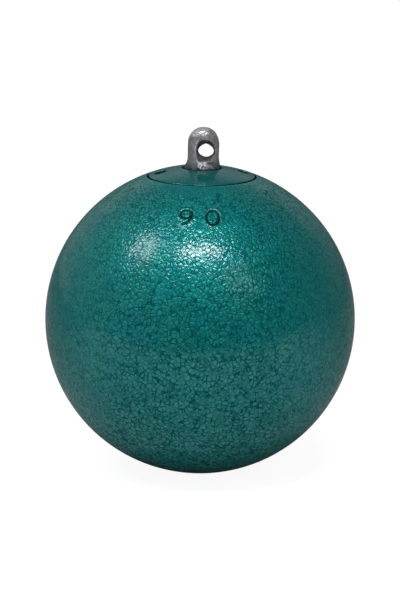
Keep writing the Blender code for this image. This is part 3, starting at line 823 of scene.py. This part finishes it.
def spanner_hole(spot):
    """The wall and drilled point of one hole, hung from the dome's rounded edge."""
    floor = on_ball(SPANNER_PITCH) - SPANNER_DEPTH
    edge = circle(spot, SPANNER_RADIUS, HOLE_STEPS)
    rim = [(p.x, p.y, on_ball(p.length) - HOLE_ROUND) for p in edge]
    wall = [(p.x, p.y, floor) for p in edge]
    tip = [(spot.x, spot.y, floor - SPANNER_RADIUS / tan(DRILL_ANGLE))] * HOLE_STEPS
    return rim + wall + tip, bands(3, HOLE_STEPS)


def cap_mesh():
    corners, faces = cap_dome()
    edge = on_ball(cap_radius) - CAP_ROUND
    outside = [(cap_radius, edge)]
    outside += [(r, z) for r, z in cap_rings if r > BORE_LIMIT and z < edge - BORE_SLACK]
    bore = stepped([(r, z) for r, z in cap_rings if r < BORE_LIMIT], cap_radius)
    bore.append((bore_radius, on_ball(bore_radius) - CAP_ROUND))
    for more, more_faces in (lathe(outside + bore, around(CAP_STEPS)), *map(spanner_hole, holes)):
        start = len(corners)
        corners += more
        faces += [tuple(start + i for i in face) for face in more_faces]
    return welded("painted_cap", corners, faces)


piece(cap_mesh(), "head", ["bearing_cap"], shaded_cap_paint, cast_iron, is_bored)

# %% [markdown]
# ## The forged eye
#
# The eye is forged round and domed, squarer in front than behind. It leans a little off the axis
# and flares into a foot that turns in the cap. The wire has worn its hole wider towards both
# ends, and each end opens into a ground arch above and a dish below, where the wire's loop
# swings. Subdivision modelling would make it too clean. So a rough shape is turned, cut, and
# rebuilt as a fine even skin, whose corners then sink by soft noise, as scale leaves it.

# %% Turn the eye's blank
EYE_RADIUS = 4.55 * MM
FLARE_HEIGHT, FLARE_POWER = 3.0 * MM, 2.1
SIDE_POWERS = (6.5, 3.4)  # of the top in front and behind: 2 would be round, more is squarer
HALVINGS = 30  # of the range in which the arch's radius is sought
EYE_STEPS, ARCH_ROWS, FOOT_ROWS = 96, 30, 26
ARCH_FIRST = 0.04  # angle of the first row from the very top
EYE_BELOW_SEAM = 1.2 * MM  # how far the eye's mesh runs down inside the cap
eye_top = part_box("eye_spindle")[1].z


def arch_radius(rise, turn):
    """Distance from the axis to the arched top, `rise` above its springing, in one direction."""
    low, high = 0.0, EYE_RADIUS
    power = SIDE_POWERS[sin(turn) > 0]
    for _ in range(HALVINGS):
        radius = (low + high) / 2
        chord = sqrt(max(EYE_RADIUS**2 - (radius * cos(turn)) ** 2, 0))
        inside = (radius * abs(sin(turn))) ** power + rise**power < chord**power
        low, high = (radius, high) if inside else (low, radius)
    return low


def eye_blank():
    springing = eye_top - EYE_RADIUS
    bottom = seam_level - EYE_BELOW_SEAM
    corners = [(EYE_OFFSET, 0, eye_top)] * EYE_STEPS
    arch = EYE_RADIUS * np.cos(np.linspace(ARCH_FIRST, pi / 2, ARCH_ROWS))
    for rise in arch:
        corners += [at(arch_radius(rise, a), a, springing + rise, EYE_OFFSET) for a in around(EYE_STEPS)]
    foot = [*np.linspace(springing, seam_level, FOOT_ROWS)[1:], bottom]
    for height in foot:
        fall = min(max((seam_level + FLARE_HEIGHT - height) / FLARE_HEIGHT, 0), 1) ** FLARE_POWER
        radius = EYE_RADIUS + (journal_radius - EYE_RADIUS) * fall
        corners += [at(radius, a, height, EYE_OFFSET * (1 - fall)) for a in around(EYE_STEPS)]
    corners += [(0, 0, bottom)] * EYE_STEPS
    return welded("forged_eye", corners, bands(len(arch) + len(foot) + 2, EYE_STEPS))


# %% The tool that cuts the hole and the ground recess at both its ends
HOLE_RADIUS = 2.22 * MM
WORN_FROM, TOP_FROM, DISH_FROM = 0.6 * MM, 1.8 * MM, 3.5 * MM  # along the hole, where each opens
SIDE_SLOPE, FLOOR_SLOPE, TOP_SLOPE, DISH_SLOPE = 0.16, 0.06, 0.56, 1.9
UPPER_CURVE, LOWER_CURVE = (1.25, 0.5), (1.2, 0.6)  # 1 is an oval, less is squarer: start and fall
UPPER_REACH, LOWER_REACH = 1.7 * MM, 1.0 * MM  # how soon they have fallen
TOOL_REACH, TOOL_ROWS = 6.6 * MM, 9


def hole_tool():
    """Oval sections carried along the hole, which open out towards both ends."""
    stations = [WORN_FROM, TOP_FROM, *np.linspace(DISH_FROM, TOOL_REACH, TOOL_ROWS)]
    stations = [-along for along in stations[::-1]] + stations
    corners = []
    for along in stations:
        worn, top, dish = (max(0, abs(along) - start) for start in (WORN_FROM, TOP_FROM, DISH_FROM))
        side = HOLE_RADIUS + SIDE_SLOPE * worn
        upper = (HOLE_RADIUS + TOP_SLOPE * top,
                 UPPER_CURVE[0] - UPPER_CURVE[1] * min(1, top / UPPER_REACH))
        lower = (HOLE_RADIUS + FLOOR_SLOPE * worn + DISH_SLOPE * dish,
                 LOWER_CURVE[0] - LOWER_CURVE[1] * min(1, dish / LOWER_REACH))
        for a in around(EYE_STEPS):
            height, curve = upper if sin(a) > 0 else lower
            across, up = (copysign(abs(part) ** curve, part) for part in (cos(a), sin(a)))
            corners.append((HOLE_SHIFT + side * across, along, up * height))
    faces = bands(len(stations), EYE_STEPS)
    faces += [tuple(range(EYE_STEPS)), tuple(range(len(corners) - EYE_STEPS, len(corners)))]
    return welded("hole_tool", corners, faces)


# %% Cut the blank and give it a forged skin
SKIN_STEP, SKIN_SOFTENING = 0.14 * MM, 3
SCALE_LAYERS = ((2.4 * MM, 0.14 * MM), (1.0 * MM, 0.13 * MM), (0.45 * MM, 0.05 * MM))  # size, depth
SCALE_STRETCH = Vector((0.45, 1, 1))
DISH_DEEPER = 1.8  # how much more the skin sinks where the wire has scuffed it
EYE_SHARP = radians(75)


def cut_and_skinned(mesh, tool):
    """The mesh with the tool's shape cut away, rebuilt as a fine even skin."""
    blank, helper = in_scene(mesh.name, mesh), in_scene(tool.name, tool)
    cut = blank.modifiers.new("cut", "BOOLEAN")
    cut.object, cut.operation, cut.solver = helper, "DIFFERENCE", "EXACT"
    skin = blank.modifiers.new("skin", "REMESH")
    skin.mode, skin.voxel_size = "VOXEL", SKIN_STEP
    soften = blank.modifiers.new("soften", "SMOOTH")
    soften.factor, soften.iterations = 0.5, SKIN_SOFTENING
    made = bpy.data.meshes.new_from_object(blank.evaluated_get(bpy.context.evaluated_depsgraph_get()))
    made.name = mesh.name
    bpy.data.objects.remove(blank)
    bpy.data.objects.remove(helper)
    return made


def forged_skin(mesh):
    """Sinks the skin by layers of soft noise, so that it stays inside the blank."""
    for vertex, normal in zip(mesh.vertices, [v.normal.copy() for v in mesh.vertices]):
        spot = vertex.co * SCALE_STRETCH
        sink = sum(depth * max(0, noise.noise(spot / size)) for size, depth in SCALE_LAYERS)
        if vertex.co.z < -HOLE_RADIUS and abs(vertex.co.x - HOLE_SHIFT) < HOLE_RADIUS:
            sink *= DISH_DEEPER
        vertex.co -= normal * sink
    return mesh


eye_mesh = forged_skin(cut_and_skinned(eye_blank(), hole_tool()))
piece(eye_mesh, "spindle", ["eye_spindle"], forged, sharp=EYE_SHARP)

# %% [markdown]
# Below the cap the same forging is turned down to a journal, a shank and a threaded end. A real
# thread could be cut by a Boolean sweep, but a lathe can make it directly: the radius at each
# point follows a sawtooth that climbs once per turn.

# %% The turned lower part of the spindle
THREAD_PITCH, THREAD_DEPTH = 1.25 * MM, 0.62 * MM
THREAD_FLANKS = 1.25  # over 1, so that the groove has a flat floor
THREAD_ROWS, THREAD_STEPS = 12, 64  # per turn of the thread, and round it
RUN_OUT = 0.5 * MM
JOURNAL_TOP, JOURNAL_CHAMFER = 0.6 * MM, (0.15 * MM, 0.9 * MM)  # below the seam
thread_top, thread_end, spindle_tip = spindle_rings[-3:]


def thread_radius(height, angle):
    """Falls from the crest into the groove and back once per pitch, and runs out at both ends."""
    climb = (height / THREAD_PITCH - angle / tau) % 1
    groove = min(1, THREAD_FLANKS * (1 - abs(2 * climb - 1)))
    from_top = (thread_top[1] - 2 * THREAD_PITCH - height) / THREAD_PITCH
    run_out = min(1, from_top, (height - thread_end[1]) / RUN_OUT)
    return thread_top[0] - THREAD_DEPTH * groove * max(run_out, 0)


def turned_spindle():
    top = seam_level - JOURNAL_TOP
    upper = [(0, top), (journal_radius - JOURNAL_CHAMFER[0], top)]
    upper += [(r, min(z, seam_level - JOURNAL_CHAMFER[1])) for r, z in spindle_rings[:-3]]
    corners, _ = lathe(upper, around(THREAD_STEPS))
    rows = round((thread_top[1] - thread_end[1]) / THREAD_PITCH * THREAD_ROWS)
    for height in np.linspace(thread_top[1], thread_end[1], rows + 1):
        corners += [at(thread_radius(height, a), a, height) for a in around(THREAD_STEPS)]
    corners += lathe([spindle_tip, (0, spindle_tip[1])], around(THREAD_STEPS))[0]
    return welded("turned_spindle", corners, bands(len(corners) // THREAD_STEPS, THREAD_STEPS))


piece(turned_spindle(), "spindle", [], machined)

# %% [markdown]
# ## The pieces inside
#
# The bearing, the bush, the seal, the nut and its pin are simple turned or sawn shapes, and the
# construction already has them right. They keep those shapes and only get their metals.

# %% Give the inner pieces their metals
inner_finishes = dict(dust_seal=rubber, spindle_bush=bronze, ball_cage=brass, nut_washer=plated,
                      slotted_nut=plated, split_pin=plated)
for name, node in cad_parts.items():
    if name in ("head_casting", "bearing_cap", "eye_spindle"):
        continue
    for slot in node.material_slots:
        slot.link = "OBJECT"
        slot.material = inner_finishes.get(name, ground)
print("inner pieces finished:", len(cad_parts) - 3)

# %% [markdown]
# ## The floor and the light
#
# The object stands alone on white. A white floor under strong light would throw too much light
# back up at the ball. So the floor is a plain pale grey that the camera, and only the camera, sees
# mostly as white: its own soft shadow stays in the rest. Mirror rays see it dimmer, as a room.

# %% Make the floor's finish
FLOOR_COLOUR = (0.90, 0.90, 0.90, 1)
FLOOR_WHITE = 1.15  # strength of the white that the camera sees
FLOOR_WHITE_SHARE = 0.8
FLOOR_IN_MIRRORS = (-0.15, 0.1, 0.60, 0.24)  # from before to behind the ball, a mirror's share
FLOOR_FRONT_END = (-0.30, -0.19, 0.1, 1.0)  # the floor far in front is darker in a mirror


def seen_straight(rays):
    """1 for what the camera sees, also through something clear."""
    return largest(rays["Is Camera Ray"], rays["Is Transmission Ray"])


pale_floor, shader, place = new_finish("pale_floor")
tree = pale_floor.node_tree
tree.nodes.remove(shader)
rays = add(tree, "LightPath")
plain, black = (add(tree, "BsdfDiffuse", Color=colour)[0] for colour in (FLOOR_COLOUR, (0, 0, 0, 1)))
white, clear = add(tree, "Emission", Strength=FLOOR_WHITE)[0], add(tree, "BsdfTransparent")[0]
kept = product(*[ramp(axes(place)["Y"], *limits) for limits in (FLOOR_IN_MIRRORS, FLOOR_FRONT_END)])
look = join("MixShader", product(rays["Is Glossy Ray"], rest(kept)), plain, black)[0]
look = join("MixShader", product(seen_straight(rays), FLOOR_WHITE_SHARE), look, white)[0]
look = join("MixShader", add(tree, "NewGeometry")["Backfacing"], look, clear)[0]
wire(tree.nodes["Material Output"].inputs["Surface"], look)

# %% Lay the floor
FLOOR_REACH = 6.0  # from the middle to each side
floor_mesh = bpy.data.meshes.new("floor")
floor_corners = [(x * FLOOR_REACH, y * FLOOR_REACH, 0) for x, y in ((-1, -1), (1, -1), (1, 1), (-1, 1))]
floor_mesh.from_pydata(floor_corners, [], [(0, 1, 2, 3)])
floor_mesh.materials.append(pale_floor)
floor = in_scene("floor", floor_mesh)
floor.location.z = ball_low.z

# %% [markdown]
# Two softboxes make the two highlights on the ball: a long low one ahead and above, and a squarer
# one over the left shoulder. A dim window on the right adds a faint third. A lamp alone would
# leave the shadows black, so the rest is a pale room, a little brighter in front and below. It is
# darker in a mirror than as a source of light, because the side behind the camera is not lit.

# %% Hang the softboxes
SOFTBOX_DISTANCE = 0.9


def softbox(name, direction, width, height, brightness):
    """An area lamp that faces the ball, and looks as bright as `brightness` in a mirror."""
    light = bpy.data.lights.new(name, "AREA")
    light.shape = "RECTANGLE"
    light.size, light.size_y = width, height
    light.energy = brightness * pi * width * height
    lamp = in_scene(name, light)
    out = Vector(direction).normalized()
    lamp.location = CENTRE + out * SOFTBOX_DISTANCE
    lamp.rotation_euler = out.to_track_quat("Z", "Y").to_euler()
    print(name, "power:", round(light.energy, 2), "W")


softbox("front_softbox", (0.011, -0.463, 0.886), 0.44, 0.17, 23.5)
softbox("left_softbox", (-0.567, -0.204, 0.798), 0.28, 0.28, 9.0)
softbox("right_window", (0.459, -0.638, 0.621), 0.26, 0.34, 1.6)

# %% Paint the room that the mirrors and the shadows see
ROOM_LIGHT = 0.53
FRONT_LEAN, TOP_LEAN = 0.85, 0.4  # how much more of it comes from the front, and less from above
ROOM_IN_MIRRORS = 0.05  # everywhere, and these on top of it, each from one way to another:
BACK_IN_MIRRORS = (-0.2, 1.0, 0.0, 0.11)
HIGH, FAR_BACK, HIGH_BACK_IN_MIRRORS = (0.1, 0.5), (0.62, 0.9), 0.36
LEFT_IN_MIRRORS, RIGHT_IN_MIRRORS = (0.0, -0.8, 0.0, 0.18), (0.0, 0.8, 0.0, 0.02)

world = bpy.data.worlds.new("studio_room")
world.use_nodes = True
bpy.context.scene.world = world
rays = add(world.node_tree, "LightPath")
right, back, up = axes(add(world.node_tree, "TexCoord")["Generated"])
high_back = product(ramp(up, *HIGH), ramp(back, *FAR_BACK))
behind = times_plus(high_back, HIGH_BACK_IN_MIRRORS, ramp(back, *BACK_IN_MIRRORS))
beside = largest(ramp(right, *LEFT_IN_MIRRORS), ramp(right, *RIGHT_IN_MIRRORS))
mirrored = maths("ADD", maths("ADD", behind, beside), ROOM_IN_MIRRORS)
light = times_plus(back, -FRONT_LEAN * ROOM_LIGHT, ROOM_LIGHT)
light = times_plus(up, -TOP_LEAN * ROOM_LIGHT, light)
for kind, value in ((rays["Is Glossy Ray"], mirrored), (seen_straight(rays), 1.0)):
    light = add(world.node_tree, "Mix", data_type="FLOAT", Factor=kind, A=light, B=value)[0]
fill(world.node_tree.nodes["Background"], Color=(1, 1, 1, 1), Strength=light)

# %% [markdown]
# ## The camera
#
# A ball seen through a long lens is a circle whose size gives the distance in lens lengths, and
# the ellipse of the cap's groove gives how far the camera looks down. The aim is set so that the
# ball's centre falls where it does in the picture, in pixels from the middle of the frame.

# %% Set the camera up
FRAME_HEIGHT = 600  # pixels; the frame is 400 by 600
DISTANCE = 25 * RADIUS
BALL_PIXELS = 154.93  # the ball's radius in the picture
AIM_PIXELS = (0.05, -18.56)  # the ball's centre, right of and above the middle
LOOK_DOWN, ROLL = radians(12.4), radians(0.7)

focal = BALL_PIXELS * sqrt((DISTANCE / RADIUS) ** 2 - 1)
back = Vector((0, -cos(LOOK_DOWN), sin(LOOK_DOWN)))
right, up = Vector((1, 0, 0)), Vector((0, sin(LOOK_DOWN), cos(LOOK_DOWN)))
right, up = right * cos(ROLL) + up * sin(ROLL), up * cos(ROLL) - right * sin(ROLL)
place = CENTRE + back * DISTANCE
back = (back * focal + right * AIM_PIXELS[0] + up * AIM_PIXELS[1]).normalized()
right = up.cross(back).normalized()
up = back.cross(right)
lens = bpy.data.cameras.new("camera")
lens.lens = focal / FRAME_HEIGHT * lens.sensor_width
lens.clip_start, lens.clip_end = 0.01, 20
eye = in_scene("camera", lens)
eye.matrix_world = Matrix.Translation(place) @ Matrix((right, up, back)).transposed().to_4x4()
bpy.context.scene.camera = eye
print("lens:", round(lens.lens, 1), "mm")
bpy.context.scene.view_settings.view_transform = "Standard"
